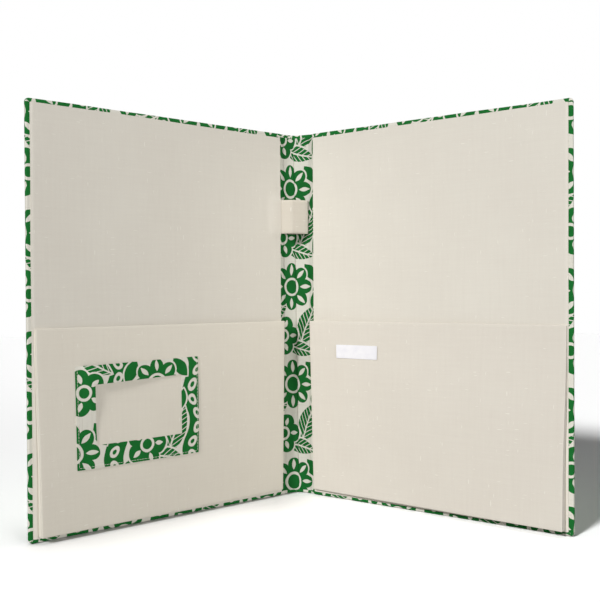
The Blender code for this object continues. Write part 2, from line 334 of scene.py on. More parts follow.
def addTo(tree):
    def add(kind, links, **settings):  # adds a node with its settings and links, and gives its outputs
        node = tree.nodes.new("ShaderNode" + kind)
        for key, value in settings.items():
            setattr(node, key, value)
        plug(node, links)
        return node.outputs
    return add


def newMaterial(name):
    material = bpy.data.materials.new(name)
    material.use_nodes = True
    return material, addTo(material.node_tree), material.node_tree.nodes["Principled BSDF"]


def weaveOf(add, place, pitch, uneven):  # threads both ways
    bands = {0: place, "Scale": waveMetre / pitch, "Detail": 1, **uneven}
    threads = [add("TexWave", bands, bands_direction=way)["Fac"] for way in ("X", "Y")]
    return add("Math", {0: threads[0], 1: threads[1]}, operation="MULTIPLY")[0]


def drawnOut(add, place, stretches, looks):  # noise drawn out along the threads, one way and then the other
    drawn = [add("Mapping", {0: place, 3: stretch})[0] for stretch in stretches]
    return [add("TexNoise", {0: each, "Scale": 1, **looks})["Fac"] for each in drawn]


cream = {  # light and dark shade of each piece's cloth
    "liner": ("#E0DBD0", "#DBD5CA"),
    "frontPocket": ("#E1DBCE", "#DCD5C8"),
    # the back pocket's copy of the canvas is a little darker: painted shade
    "backPocket": ("#DCD6CB", "#D7D0C5"),
    # the pen loop's copy is darker than the liners' though it is the same cream cloth: painted shade of the spine's
    # hollow it stands in
    "penLoop": ("#D0C9BC", "#CAC2B4"),
    "slub": "#EFECE2",
    "fleck": "#7E7465",
    "weave": 1.5 * mm,  # real threads are 0.5 mm apart, drawn coarser so that they show
}


def makeCream(name, shades, seed):
    # Natural cotton canvas pasted to card: matt and nearly even, with short light slubs and a few dark flecks
    material, add, surface = newMaterial(name)
    flatMap = add("UVMap", {}, uv_map="UVMap")[0]
    place = add("Mapping", {0: flatMap, 1: (seed, seed * 0.37, 0)})[0]
    weave = weaveOf(add, place, cream["weave"], {"Distortion": 2.5, "Detail Scale": 1.4})
    clouds = drawnOut(add, place, ((30, 480, 1), (420, 26, 1)), {"Detail": 3, "Roughness": 0.6})
    dashes = drawnOut(add, place, ((150, 800, 1), (760, 140, 1)), {"Detail": 0})
    slubs = [add("MapRange", {0: dash, 1: 0.79, 2: 0.86})[0] for dash in dashes]
    streaks = add("Math", {0: clouds[0], 1: clouds[1]}, operation="ADD")[0]
    slub = add("Math", {0: slubs[0], 1: slubs[1]}, operation="MAXIMUM")[0]
    cloud = add("TexNoise", {0: place, "Scale": 18, "Detail": 4, "Roughness": 0.55})["Fac"]
    mottle = add("Math", {0: cloud, 1: 1.2, 2: streaks}, operation="MULTIPLY_ADD")[0]
    mottle = add("Math", {0: weave, 1: 0.12, 2: mottle}, operation="MULTIPLY_ADD")[0]
    ramp = add("MapRange", {0: mottle, 1: 1.1, 2: 2.1})[0]
    cloth = add("Mix", {0: ramp, 6: shades[1], 7: shades[0]}, data_type="RGBA")[2]
    slubShare = add("Math", {0: slub, 1: 0.55}, operation="MULTIPLY")[0]
    cloth = add("Mix", {0: slubShare, 6: cloth, 7: cream["slub"]}, data_type="RGBA")[2]
    # Flecks of seed husk: few cells of a coarse Voronoi hold a dot
    cells = add("TexVoronoi", {0: place, "Scale": 24})
    cellShade = add("SeparateColor", {0: cells["Color"]})[0]
    chosen = add("Math", {0: cellShade, 1: 0.9}, operation="GREATER_THAN")[0]
    near = add("MapRange", {0: cells["Distance"], 1: 0.012, 2: 0.022, 3: 0.85, 4: 0})[0]
    dot = add("Math", {0: near, 1: chosen}, operation="MULTIPLY")[0]
    flecked = add("Mix", {0: dot, 6: cloth, 7: cream["fleck"]}, data_type="RGBA")[2]
    relief = add("Math", {0: weave, 1: 0.5, 2: streaks}, operation="MULTIPLY_ADD")[0]
    relief = add("Math", {0: slub, 1: 1.2, 2: relief}, operation="MULTIPLY_ADD")[0]
    bump = add("Bump", {"Strength": 0.2, "Distance": 0.1 * mm, "Height": relief})[0]
    rough = add("MapRange", {0: mottle, 1: 1.1, 2: 2.1, 3: 0.86, 4: 0.95})[0]
    plug(surface, {
        "Base Color": flecked, "Roughness": rough, "Normal": bump,
        "Specular IOR Level": 0.25, "Sheen Weight": 0.04, "Sheen Roughness": 0.5,
    })
    return material


printStyle = {  # ink and its darker patches, bare cloth and its thick threads
    "outside": ("#1B7331", "#136226", "#DCD9CE", "#C8C4B6"),
    # the lining's copy is darker in ink and cloth alike: painted shade for the deep hollow of the spine
    "lining": ("#186A2D", "#105822", "#D0CEC3", "#BFBCAF"),
    "wide": 104,  # one repeat, in print units
    "high": 128,
    "unit": 0.68,  # mm of cloth to one print unit
    "gap": 2.2,
    "weave": 1.1 * mm,  # real threads are 0.4 mm apart, drawn coarser so that they show
}


def printSteps():
    # The block print in print units. Each line is a name, what it starts from, and the Math operations that follow,
    # each with what else it takes. A motif's value is below 0 inside it.
    wide, high = printStyle["wide"], printStyle["high"]
    lines = [
        ("column", "u", ("DIVIDE", wide), ("FLOOR",)),
        ("odd", "column", ("FLOORED_MODULO", 2)),
        ("flip", "odd", ("MULTIPLY_ADD", -2, 1)),
        ("x", "u", ("FLOORED_MODULO", wide), ("SUBTRACT", wide / 2), ("MULTIPLY", "flip")),
        ("y", "odd", ("MULTIPLY_ADD", high / 2, "v"), ("FLOORED_MODULO", high), ("SUBTRACT", high / 2)),
        # A winding ribbon down each side of the repeat, with pebbles cut out of it
        ("wave", "v", ("MULTIPLY", 4 * math.pi / high), ("SINE",)),
        ("sway", "u", ("ADD", wide / 2), ("FLOORED_MODULO", wide), ("SUBTRACT", wide / 2)),
        ("sway", "wave", ("MULTIPLY_ADD", 5, "sway")),
        ("green", "sway", ("ABSOLUTE",), ("SUBTRACT", 12.5)),
        ("pebble", "v", ("FLOORED_MODULO", high / 8), ("SUBTRACT", high / 16), ("MULTIPLY", 0.86)),
        ("pebble", "pebble", ("MULTIPLY", "pebble")),
        ("pebble", "sway", ("MULTIPLY_ADD", "sway", "pebble"), ("SQRT",)),
        ("seed", "pebble", ("SUBTRACT", 2.4)),
        ("pebble", "pebble", ("MULTIPLY_ADD", -1, 5.6), ("MINIMUM", "seed")),
        ("green", "green", ("MAXIMUM", "pebble")),
    ]

    def centre(cx, cy):
        return [("dx", "x", ("SUBTRACT", cx)), ("dy", "y", ("SUBTRACT", cy))]

    def lay(key):  # a motif keeps a gap from those laid before it
        halo = ("halo", "outline", ("MULTIPLY_ADD", -1, printStyle["gap"]))
        return [halo, ("green", "green", ("MAXIMUM", "halo"), ("MINIMUM", key))]

    leaves = [  # centre, lean in degrees, half length, half width, with ribs
        ("leafA", 25, -24, 68, 31, 14, True),
        ("leafB", -27, -6, 30, 24, 10, True),
        ("leafC", 13, -53.5, -14, 25, 9.8, True),
        ("budA", -32, 46, 60, 15, 8, False),
        ("budB", 33, 46, -50, 15, 8, False),
        ("budC", -36, -56.5, 20, 11, 6, False),
        ("budD", 35, 10, 80, 11, 5, False),
    ]
    for key, cx, cy, lean, long, wideHalf, ribs in leaves:
        c, s = math.cos(math.radians(lean)), math.sin(math.radians(lean))
        lines += centre(cx, cy) + [
            ("a", "dx", ("MULTIPLY", c)),
            ("a", "dy", ("MULTIPLY_ADD", s, "a")),
            ("b", "dx", ("MULTIPLY", -s)),
            ("b", "dy", ("MULTIPLY_ADD", c, "b"), ("ABSOLUTE",)),
            ("share", "a", ("DIVIDE", long)),
            ("share", "share", ("MULTIPLY", "share")),
            ("outline", "share", ("MULTIPLY_ADD", wideHalf, -wideHalf), ("ADD", "b")),
            ("vein", "b", ("MULTIPLY_ADD", -1, 1 if ribs else -1)),
            (key, "outline", ("MAXIMUM", "vein")),
        ]
        if ribs:
            lines += [
                ("ribs", "b", ("MULTIPLY_ADD", -1.1, "a"), ("FLOORED_MODULO", 7), ("MULTIPLY_ADD", -1, 1.3)),
                (key, key, ("MAXIMUM", "ribs")),
            ]
        lines += lay(key)
    blossoms = [  # centre, petals, reach, notch, ring, slit centre, slit half length, slit half width
        ("small", -14, -36, 5, 26, 7, 7.5, 16, 5.6, 2.6),
        ("big", 1, 28, 8, 31.5, 8, 11, 22.5, 7.4, 2.6),
    ]
    for key, cx, cy, petals, reach, notch, ring, slitAt, slitLong, slitWide in blossoms:
        lines += centre(cx, cy) + [
            ("angle", "dy", ("ARCTAN2", "dx"), ("MULTIPLY", petals / 2)),
            ("r", "dx", ("MULTIPLY", "dx")),
            ("r", "dy", ("MULTIPLY_ADD", "dy", "r"), ("SQRT",)),
            ("edge", "angle", ("COSINE",), ("ABSOLUTE",), ("POWER", 0.7), ("MULTIPLY_ADD", notch, reach - notch)),
            ("outline", "r", ("SUBTRACT", "edge")),
            ("ring", "r", ("SUBTRACT", ring), ("ABSOLUTE",), ("MULTIPLY_ADD", -1, 1.6)),
            (key, "outline", ("MAXIMUM", "ring")),
            ("off", "angle", ("SINE",), ("ABSOLUTE",), ("MULTIPLY", "r"), ("MULTIPLY", 2 / petals / slitWide)),
            ("slit", "r", ("SUBTRACT", slitAt), ("DIVIDE", slitLong)),
            ("slit", "slit", ("MULTIPLY", "slit"), ("ADD", "off"), ("MULTIPLY_ADD", -1, 1), ("MULTIPLY", slitWide)),
            (key, key, ("MAXIMUM", "slit")),
        ]
        lines += lay(key)
    return lines


def makePrint(name, shades):
    # Cotton canvas with a one-colour block print: matt, the ink sunk into the weave, its edges a little uneven
    ink, darkInk, cloth, coarse = shades
    material, add, surface = newMaterial(name)
    flatMap = add("UVMap", {}, uv_map="UVMap")[0]
    units = 1000 / printStyle["unit"]
    inUnits = add("Mapping", {0: flatMap, 3: (units, units, units)})[0]
    for scale, reach in ((0.045, 3.2), (0.85, 0.42)):
        wander = add("TexNoise", {0: inUnits, "Scale": scale, "Detail": 1})["Color"]
        centred = add("VectorMath", {0: wander, 1: (0.5, 0.5, 0.5)}, operation="SUBTRACT")[0]
        inUnits = add("VectorMath", {0: centred, 1: (reach, reach, 0), 2: inUnits}, operation="MULTIPLY_ADD")[0]
    parts = add("SeparateXYZ", {0: inUnits})
    made = {"u": parts[0], "v": parts[1]}
    for key, start, *operations in printSteps():
        value = made[start]
        for operation, *others in operations:
            taken = [value] + [made[other] if isinstance(other, str) else other for other in others]
            value = add("Math", dict(enumerate(taken)), operation=operation)[0]
        made[key] = value
    bare = add("MapRange", {0: made["green"], 1: -0.12, 2: 0.12})[0]
    weave = weaveOf(add, flatMap, printStyle["weave"], {"Distortion": 1})
    slubs = drawnOut(add, flatMap, ((36, 700, 1), (640, 30, 1)), {"Detail": 2})
    slub = add("Math", {0: slubs[0], 1: slubs[1]}, operation="MAXIMUM")[0]
    patches = add("TexNoise", {0: flatMap, "Scale": 70, "Detail": 5, "Roughness": 0.65})["Fac"]
    sunk = add("Math", {0: weave, 1: 0.3, 2: patches}, operation="MULTIPLY_ADD")[0]
    inkShare = add("MapRange", {0: sunk, 1: 0.38, 2: 0.92})[0]
    inked = add("Mix", {0: inkShare, 6: darkInk, 7: ink}, data_type="RGBA")[2]
    threadShare = add("MapRange", {0: slub, 1: 0.6, 2: 0.78, 4: 0.8})[0]
    ground = add("Mix", {0: threadShare, 6: cloth, 7: coarse}, data_type="RGBA")[2]
    colour = add("Mix", {0: bare, 6: inked, 7: ground}, data_type="RGBA")[2]
    relief = add("Math", {0: slub, 1: 0.7, 2: weave}, operation="MULTIPLY_ADD")[0]
    bump = add("Bump", {"Strength": 0.3, "Distance": 0.12 * mm, "Height": relief})[0]
    rough = add("MapRange", {0: sunk, 1: 0.4, 2: 0.9, 3: 0.78, 4: 0.92})[0]
    plug(surface, {"Base Color": colour, "Roughness": rough, "Normal": bump, "Specular IOR Level": 0.12})
    return material


paper = {  # light and dark shade
    "board": ("#9C9486", "#857C6E"),
    "card": ("#B3A996", "#A09684"),
    "fibre": 2.5 * mm,
}


def makePulp(name, shades):
    # Grey board and scored card: pressed pulp, matt, with short darker fibres. Object coordinates are metres.
    material, add, surface = newMaterial(name)
    place = add("TexCoord", {})["Object"]
    pulp = add("TexNoise", {0: place, "Scale": 1 / paper["fibre"], "Detail": 6, "Roughness": 0.7})["Fac"]
    fibre = add("TexNoise", {0: place, "Scale": 90, "Detail": 3, "Distortion": 2.5})["Fac"]
    share = add("Math", {0: pulp, 1: fibre}, operation="MULTIPLY")[0]
    spread = add("MapRange", {0: share, 1: 0.12, 2: 0.4})[0]
    colour = add("Mix", {0: spread, 6: shades[1], 7: shades[0]}, data_type="RGBA")[2]
    bump = add("Bump", {"Strength": 0.3, "Distance": 0.1 * mm, "Height": share})[0]
    plug(surface, {"Base Color": colour, "Normal": bump, "Roughness": 0.93})
    return material


label = {
    "white": "#F3F2F5",
    "shade": "#E6E5EC",
    "rib": 0.9 * mm,  # real ribs are 0.3 mm apart, drawn coarser so that they show
    "thick": 0.15 * mm,
    "round": 0.5 * mm,
    "lift": 0.28 * mm,
    "curl": 0.35 * mm,
}


def makeSatin(name):
    # Polyester satin tape: bright, fine ribs across it, smoother than the cotton round it
    material, add, surface = newMaterial(name)
    flatMap = add("UVMap", {}, uv_map="UVMap")[0]
    bands = {0: flatMap, "Scale": waveMetre / label["rib"], "Distortion": 0.4}
    ribs = add("TexWave", bands, bands_direction="Y")["Fac"]
    cloud = add("TexNoise", {0: flatMap, "Scale": 160, "Detail": 3})["Fac"]
    share = add("Math", {0: ribs, 1: 0.4, 2: cloud}, operation="MULTIPLY_ADD")[0]
    spread = add("MapRange", {0: share, 1: 0.35, 2: 0.95})[0]
    colour = add("Mix", {0: spread, 6: label["shade"], 7: label["white"]}, data_type="RGBA")[2]
    bump = add("Bump", {"Strength": 0.15, "Distance": 0.05 * mm, "Height": ribs})[0]
    plug(surface, {"Base Color": colour, "Normal": bump, "Roughness": 0.5, "Sheen Weight": 0.15})
    return material


sewing = {"light": "#E4E3D8", "dark": "#CFCFC0", "twist": 0.6 * mm}


def makeThread(name):
    # Spun polyester sewing thread: off-white with a low sheen and a twist along each stitch
    material, add, surface = newMaterial(name)
    place = add("TexCoord", {})["Object"]
    bands = {0: place, "Scale": waveMetre / sewing["twist"], "Distortion": 1.5}
    twist = add("TexWave", bands, bands_direction="DIAGONAL")["Fac"]
    colour = add("Mix", {0: twist, 6: sewing["dark"], 7: sewing["light"]}, data_type="RGBA")[2]
    plug(surface, {"Base Color": colour, "Roughness": 0.6, "Sheen Weight": 0.2})
    return material


creamCanvas = makeCream("creamCottonCanvas", cream["liner"], 0)
pocketCanvas = {
    "front": makeCream("creamPocketCanvas", cream["frontPocket"], 0.9),
    "back": makeCream("backPocketCanvasShaded", cream["backPocket"], 2.3),
}
loopCanvasShaded = makeCream("naturalCottonTapeShaded", cream["penLoop"], 1.7)
printedCanvas = makePrint("blockPrintedCottonCanvas", printStyle["outside"])
printedLiningShaded = makePrint("blockPrintedLiningShaded", printStyle["lining"])
greyBoard = makePulp("greyBoard", paper["board"])
scoredCard = makePulp("scoredCard", paper["card"])
labelSatin = makeSatin("satinTape")
sewingThread = makeThread("sewingThread")
print("scene: materials ready")


# Boards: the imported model's own, hidden between cloth and liner

for word in sides:
    frame["nodes"][word + "_board"].material_slots[0].material = greyBoard

# The outer cloth: one half on each cover and half the spine, turned in over three edges


def hemProfile(deep):  # (inset, depth, cloth used) once the cloth reaches the board's edge
    half, roll = cover["cloth"] / 2, cover["rollRound"]
    turns = [(math.sin(math.radians(angle)), math.cos(math.radians(angle))) for angle in (0, 22.5, 45, 67.5, 90)]
    points = [(half + roll - roll * s, half + roll - roll * c) for s, c in turns[1:]]
    points += [(half + roll - roll * c, deep - half - roll + roll * s) for s, c in turns]
    points += [(inset, deep - half) for inset in (2 * mm, 3.2 * mm, 6 * mm, 10 * mm, cover["hem"])]
    return usedUp(points, (half + roll, half))


def makeOuterCloth(word, side):
    wide, high = cover["width"], cover["height"]
    inset = cover["cloth"] / 2 + cover["rollRound"]
    held = inset + 2.6 * mm
    columns = steps(-halfSpine, (-3 * mm, 0.9 * mm), (5 * mm, 0.5 * mm), (wide - held, 9 * mm)) + [wide - inset]
    rows = [inset] + steps(held, (high - held, 9 * mm)) + [high - inset]
    limits = (-far, wide, 0, high)
    bm = startSheet(columns, rows, cover["cornerRound"], limits, inset)
    edges = rim(bm, lambda p: outwards(p, limits, cover["cornerRound"]).length > 0.5)
    for v in bm.verts:
        v.co.y = cover["cloth"] / 2
    turnIn(bm, edges, hemProfile(cover["thick"]), limits, cover["cornerRound"])
    layFlatUv(bm, side, (side * halfSpine, cover["printShift"]))
    for v in bm.verts:
        run, depth, height = v.co
        depth = groove(run) + depth * stack(run) / cover["thick"]
        height += ripple(run, height, 45 * mm, 0.25 * mm, side)
        v.co = onCloth(side, run, depth, height)
    piece = finishPiece(bm, word + "OuterCloth", cover["cloth"], printedCanvas)
    crossJoint(piece)
    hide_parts(word + "_cover_cloth", word + "_hinge_cloth", "spine_cloth")


def crossJoint(piece):  # puts the piece's placing into its mesh
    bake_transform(piece)


for word, side in sides.items():
    makeOuterCloth(word, side)
print("scene: outer cloth done")

# Inside the spine: a scored card, and the printed lining that runs under both liners


spineCard = {"wide": 22 * mm, "short": 0.8 * mm, "thick": 0.7 * mm, "deep": 1.1 * mm, "round": 0.5 * mm}


def makeSpineCard():
    columns = steps(-spineCard["wide"] / 2, (spineCard["wide"] / 2, 1 * mm))
    rows = steps(spineCard["short"], (cover["height"] - spineCard["short"], 16 * mm))
    bm = startSheet(columns, rows, spineCard["round"])
    layFlatUv(bm)
    for v in bm.verts:
        side = 1 if v.co.x >= 0 else -1
        v.co = onCloth(side, abs(v.co.x) - halfSpine, spineCard["deep"], v.co.z)
    piece = finishPiece(bm, "spineCard", spineCard["thick"], scoredCard)
    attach(piece, "spine")
    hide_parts("spine_card")


lining = {
    "thick": 0.24 * mm,
    "paste": 0.04 * mm,
    "under": 9 * mm,  # how far it runs under each liner
    "foot": 3 * mm,
    "overSpine": 0.34 * mm,
    "shift": (0.0415, 0.052),
    "pressed": (0.36 * mm, 0.86 * mm),  # into the spine's fold, over the turned-in cloth and between it
    "foldHalf": 0.7 * mm,
    "hem": 18 * mm,
    "round": 0.6 * mm,
}


def liningDepth(run):
    raised = lining["overSpine"] * smooth((-run - 1 * mm) / (2 * mm))
    return groove(run) + stack(run) + lining["paste"] + lining["thick"] / 2 + raised


def makeLining(word, side):
    fine, coarse, joint = (1.5 * mm - halfSpine, 0.25 * mm), (-3 * mm, 0.8 * mm), (lining["under"], 0.5 * mm)
    columns = steps(-halfSpine, fine, coarse, joint)
    rows = steps(lining["foot"], (cover["height"] - lining["foot"], 8 * mm))
    bm = startSheet(columns, rows, lining["round"], (-far, lining["under"], rows[0], rows[-1]))
    layFlatUv(bm, side, (side * halfSpine + lining["shift"][0], lining["shift"][1]))
    for v in bm.verts:
        run, depth, height = v.co
        fromHem = min(height, cover["height"] - height) - lining["hem"]
        fold = between(lining["pressed"], smooth(fromHem / (6 * mm))) * bell(run + halfSpine, lining["foldHalf"])
        wave = ripple(run, height, 22 * mm, 0.12 * mm, 4) * smooth((run + halfSpine) / (3 * mm))
        v.co = onCloth(side, run, liningDepth(run) - fold + wave * smooth((2 * mm - run) / (2 * mm)), height)
    piece = finishPiece(bm, word + "SpineLining", lining["thick"], printedLiningShaded)
    crossJoint(piece)
    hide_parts("spine_lining")


makeSpineCard()
for word, side in sides.items():
    makeLining(word, side)
print("scene: spine done")

# Liners: stiff cream sheets pasted over the turned-in cloth

loop = {
    "foot": spanOf("pen_loop", -1)[0][2],
    "top": spanOf("pen_loop", -1)[1][2],
    "thick": 0.3 * mm,
    "fold": 0.22 * mm,  # depth of the folded edge
    "tail": 12 * mm,  # how far it goes under the front liner
    "tailDepth": 3.86 * mm,
    "backDepth": 3.35 * mm,  # where it lies on the spine's lining
    "bend": (-9.4 * mm, -14.3 * mm),  # between these it leaves the spine and joins the cover
    "lift": 0.7 * mm,  # of the liner over its tail
    "hem": 5 * mm,
}
liner = {
    "low": spanOf("front_liner", -1)[0],
    "high": spanOf("front_liner", -1)[1],
    "spineEdge": 4.1 * mm,
    "freeEdge": {"front": 234.9 * mm, "back": 234.2 * mm},
    "widen": {"front": 0, "back": 0.7 * mm},  # towards the top
    "roll": 0.32 * mm,  # the free edge is pressed down a little
    "dip": 0.9 * mm,  # the top edge comes down a little towards the spine
    "wave": 0.25 * mm,
    "waveSize": 60 * mm,
    "fine": (220 * mm, 272 * mm),  # its rows are closer together over the pen loop's tail
    "round": 0.8 * mm,
}


def overLoopTail(word, run, height):  # the liner is lifted a little over the pen loop's tail
    if word != "front":
        return 0
    beside = smooth((loop["tail"] + 5 * mm - run) / (5 * mm))
    middle, half = (loop["foot"] + loop["top"]) / 2, (loop["top"] - loop["foot"]) / 2
    return loop["lift"] * beside * smooth((half + 4 * mm - abs(height - middle)) / (4 * mm))


def makeLiner(word, side):
    thick = liner["high"][1] - liner["low"][1]
    middle = clothDeep + (liner["high"][1] + liner["low"][1]) / 2
    free, wave, size = liner["freeEdge"][word], liner["wave"], liner["waveSize"]
    columns = steps(liner["spineEdge"], (30 * mm, 3 * mm), (free - 3 * mm, 12 * mm))
    columns += [free - inset * mm for inset in (2.2, 1.5, 0.8, 0)]
    fineFoot, fineTop = liner["fine"]
    rows = steps(liner["low"][2], (fineFoot, 12 * mm), (fineTop, 2.5 * mm), (liner["high"][2], 10 * mm))
    bm = startSheet(columns, rows, liner["round"])
    layFlatUv(bm, side, (0.3 * side, 0))
    for v in bm.verts:
        run, depth, height = v.co
        height -= liner["dip"] * smooth((height - 290 * mm) / (27 * mm)) * smooth(1 - run / (200 * mm))
        run += ripple(0, height, size, 0.3 * mm, side) * smooth((run - 200 * mm) / (30 * mm))
        height += ripple(run, 0, size, wave, 2 * side)
        deep = middle + overLoopTail(word, run, height) + abs(ripple(run, height, size, wave, 9 + side))
        deep -= liner["roll"] * smooth(1 - (free - v.co.x) / (2.4 * mm))
        run += liner["widen"][word] * height / cover["height"] * smooth((run - 150 * mm) / (80 * mm))
        v.co = onCover(side, run, deep, height)
    piece = finishPiece(bm, word + "Liner", thick, creamCanvas)
    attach(piece, word + "_cover")
    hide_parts(word + "_liner")
    size = (columns[-1] - columns[0], rows[-1] - rows[0])


for word, side in sides.items():
    makeLiner(word, side)
print("scene: liners done")

# Pockets: each is one sheet, its foot and sides folded into a bellows and pasted to the liner

panelLow, panelHigh = spanOf("front_pocket_panel", -1)
linerFace = liner["high"][1] + clothDeep
openPocket = panelHigh[1] + clothDeep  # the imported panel's front face
pocket = {
    "thick": 0.26 * mm,
    "round": 0.6 * mm,
    "gusset": 11 * mm,
    "tab": 7 * mm,
    "hem": 9 * mm,
    # Depth of the panel's face at its corners: spine side then free edge, at the top and at the foot.
    # edge is how far the free edge is off at the foot and at the top, flare how far the bellows stick out there.
    "front": {
        "top": (10.2 * mm, 5.6 * mm), "foot": (6.6 * mm, 10.3 * mm), "edge": (-1.3 * mm, 0.2 * mm), "flare": 1.2 * mm,
    },
    "back": {
        "top": (11.6 * mm, 5.5 * mm), "foot": (6.5 * mm, 10.5 * mm), "edge": (-0.45 * mm, 1.1 * mm), "flare": 0,
    },
    "bulge": 2.4 * mm,  # how far the middle stands out from the twisted panel
    "footRise": (1.6 * mm, 0.4 * mm),  # spine side and free edge
    "layers": 0.62 * mm,  # panel, its hem and the paste between them
    "flareFrom": 118 * mm,
}


def panelFace(word, run, height):
    across, up = shareOf(run, panelLow[0], panelHigh[0]), shareOf(height, panelLow[2], panelHigh[2])
    foot, top = (between(pocket[word][end], across) for end in ("foot", "top"))
    inside = math.sin(math.pi * across) * math.sin(math.pi * up)
    wave = pocket["bulge"] + ripple(run, height, 55 * mm, 0.5 * mm, sides[word] + 3)
    return between((foot, top), up) + wave * inside


def freeEdge(word, run, height):  # the free edge isn't quite upright
    off = between(pocket[word]["edge"], smooth((height - 40 * mm) / (90 * mm)))
    return off * smooth((run - panelHigh[0] + 60 * mm) / (60 * mm))


def pocketDepth(word, run, height, depth):
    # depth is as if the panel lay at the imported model's depth everywhere; the folds beside it keep their spacing
    face = panelFace(word, run, height)
    low, high = linerFace + 0.3 * mm, openPocket - pocket["layers"]
    if depth <= low:
        return depth
    if depth >= high:
        return face - (openPocket - depth)
    room = face - pocket["layers"] - low
    return low + room * ((depth - low) / (high - low)) ** ((high - low) / room)


def bellowsProfile():
    # Round the panel's edge, in under it, back out, and down to the liner as a standing wall
    low, high, deep = linerFace + 0.18 * mm, openPocket - 0.72 * mm, pocket["gusset"]
    points = [
        (0.06 * mm, openPocket - 0.22 * mm), (0, openPocket - 0.4 * mm), (0.06 * mm, openPocket - 0.58 * mm),
        (0.6 * mm, high), (deep / 2, high - 0.03 * mm), (deep - 0.35 * mm, high - 0.08 * mm),
        (deep, high - 0.3 * mm), (deep - 0.35 * mm, high - 0.52 * mm), (deep / 2, high - 0.56 * mm),
        (0.7 * mm, high - 0.58 * mm), (0.2 * mm, high - 0.68 * mm), (0, high - 1 * mm),
        (-0.15 * mm, (low + high) / 2), (0, low + 0.6 * mm), (0.15 * mm, low + 0.2 * mm), (0.6 * mm, low),
        (pocket["tab"] / 2, low), (pocket["tab"], low),
    ]
    return usedUp(points, (0.2 * mm, openPocket - pocket["thick"] / 2))


def makePocket(word, side):
    left, right, foot, top = limits = (panelLow[0], panelHigh[0], panelLow[2], panelHigh[2])
    inset, near = 0.2 * mm, 0.8 * mm
    columns, rows = (
        [low + inset, low + near, *steps(low + 3 * mm, (high - 3 * mm, 6 * mm)), high - near, high - inset]
        for low, high in ((left, right), (foot, top))
    )
    bm = startSheet(columns, rows, pocket["round"], limits, inset, sharp=((left, top), (right, top)))
    underTop = (left, right, foot, far)  # the bellows' limits, open at the top
    topEdge = rim(bm, lambda p: p.z > top - inset - 1e-6)
    others = [e for e in bm.edges if e.is_boundary and e not in topEdge]
    for v in bm.verts:
        v.co.y = openPocket - pocket["thick"] / 2
    setAway(bm, underTop, pocket["round"])
    turnIn(bm, others, bellowsProfile(), underTop, pocket["round"])
    away = bm.verts.layers.float_vector["away"]
    for v in {v for e in topEdge for v in e.verts}:
        v[away] = Vector((0, 0, 1))
    hem = [
        (over * mm, openPocket - under * mm, used * mm)
        for over, under, used in ((0.05, 0.2, 0.2), (0, 0.3, 0.3), (0.05, 0.4, 0.4), (0.3, 0.47, 0.7), (2, 0.47, 2.4))
    ]
    hem.append((pocket["hem"], openPocket - 0.47 * mm, pocket["hem"]))
    turnIn(bm, topEdge, hem, (left + near, right - near, -far, top), inset)
    layFlatUv(bm, side, (0.6 * side, 0.4))  # another part of the cloth than the liner's
    for v in bm.verts:
        run, depth, height = v.co
        flare = pocket[word]["flare"] * smooth((openPocket - depth) / (openPocket - linerFace) * 2 - 1)
        flare *= smooth((height - pocket["flareFrom"]) / (30 * mm)) * smooth((run - right + 8 * mm) / (8 * mm))
        rise = between(pocket["footRise"], shareOf(run, left, right)) * smooth(1 - (height - foot) / (40 * mm))
        deep = pocketDepth(word, run, height, depth)
        v.co = onCover(side, run + freeEdge(word, run, height) + flare, deep, height + rise)
    piece = finishPiece(bm, word + "Pocket", pocket["thick"], pocketCanvas[word], 60)
    spreadWithPocket(piece, side)
    gussets = [f"{word}_pocket_{place}_gusset" for place in ("outer", "spine", "bottom")]
    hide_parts(word + "_pocket_panel", *gussets)


def spreadWithPocket(piece, side):  # puts the piece's placing into its mesh; the points on the liner and the panel are worked out but not used
    middle, height = (panelLow[0] + panelHigh[0]) / 2, panelHigh[2] / 2
    start, end = onCover(side, middle, linerFace, height), onCover(side, middle, openPocket, height)
    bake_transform(piece)


for word, side in sides.items():
    makePocket(word, side)
print("scene: pockets done")

# The card frame on the front pocket, with its stitching

cardLow, cardHigh = spanOf("card_frame", -1)
card = {
    "borderSide": 16 * mm,
    "borderTop": 14.6 * mm,
    "borderFoot": 17 * mm,
    "thick": 0.36 * mm,
    "gap": 0.3 * mm,
    "standOff": 3.2 * mm,  # the unsewn upper border stands away from the panel, most near the free edge
    "reach": 95 * mm,
    "tilt": math.radians(1.2),  # sewn on a little out of square
    "lean": 0.52 * mm,  # the side at the free edge slopes in towards its foot
    "narrow": 1.53 * mm,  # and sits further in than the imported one
    "windowLean": 2.4 * mm,  # the window's side there slopes more
    "windowIn": 0.5 * mm,
    "windowFade": 14 * mm,
    "spineSide": -1.2 * mm,  # how far the side at the spine is off
    "drop": 1.35 * mm,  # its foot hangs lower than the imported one
    "rise": 0.5 * mm,
    "shift": (0.031, 0.043),
    "stitch": 2.2 * mm,
    "pitch": 2.35 * mm,
    "thread": 0.3 * mm,
    "seam": {"left": 1.1 * mm, "right": 1.6 * mm, "foot": 1.6 * mm, "top": 1.2 * mm},  # in from each edge
}


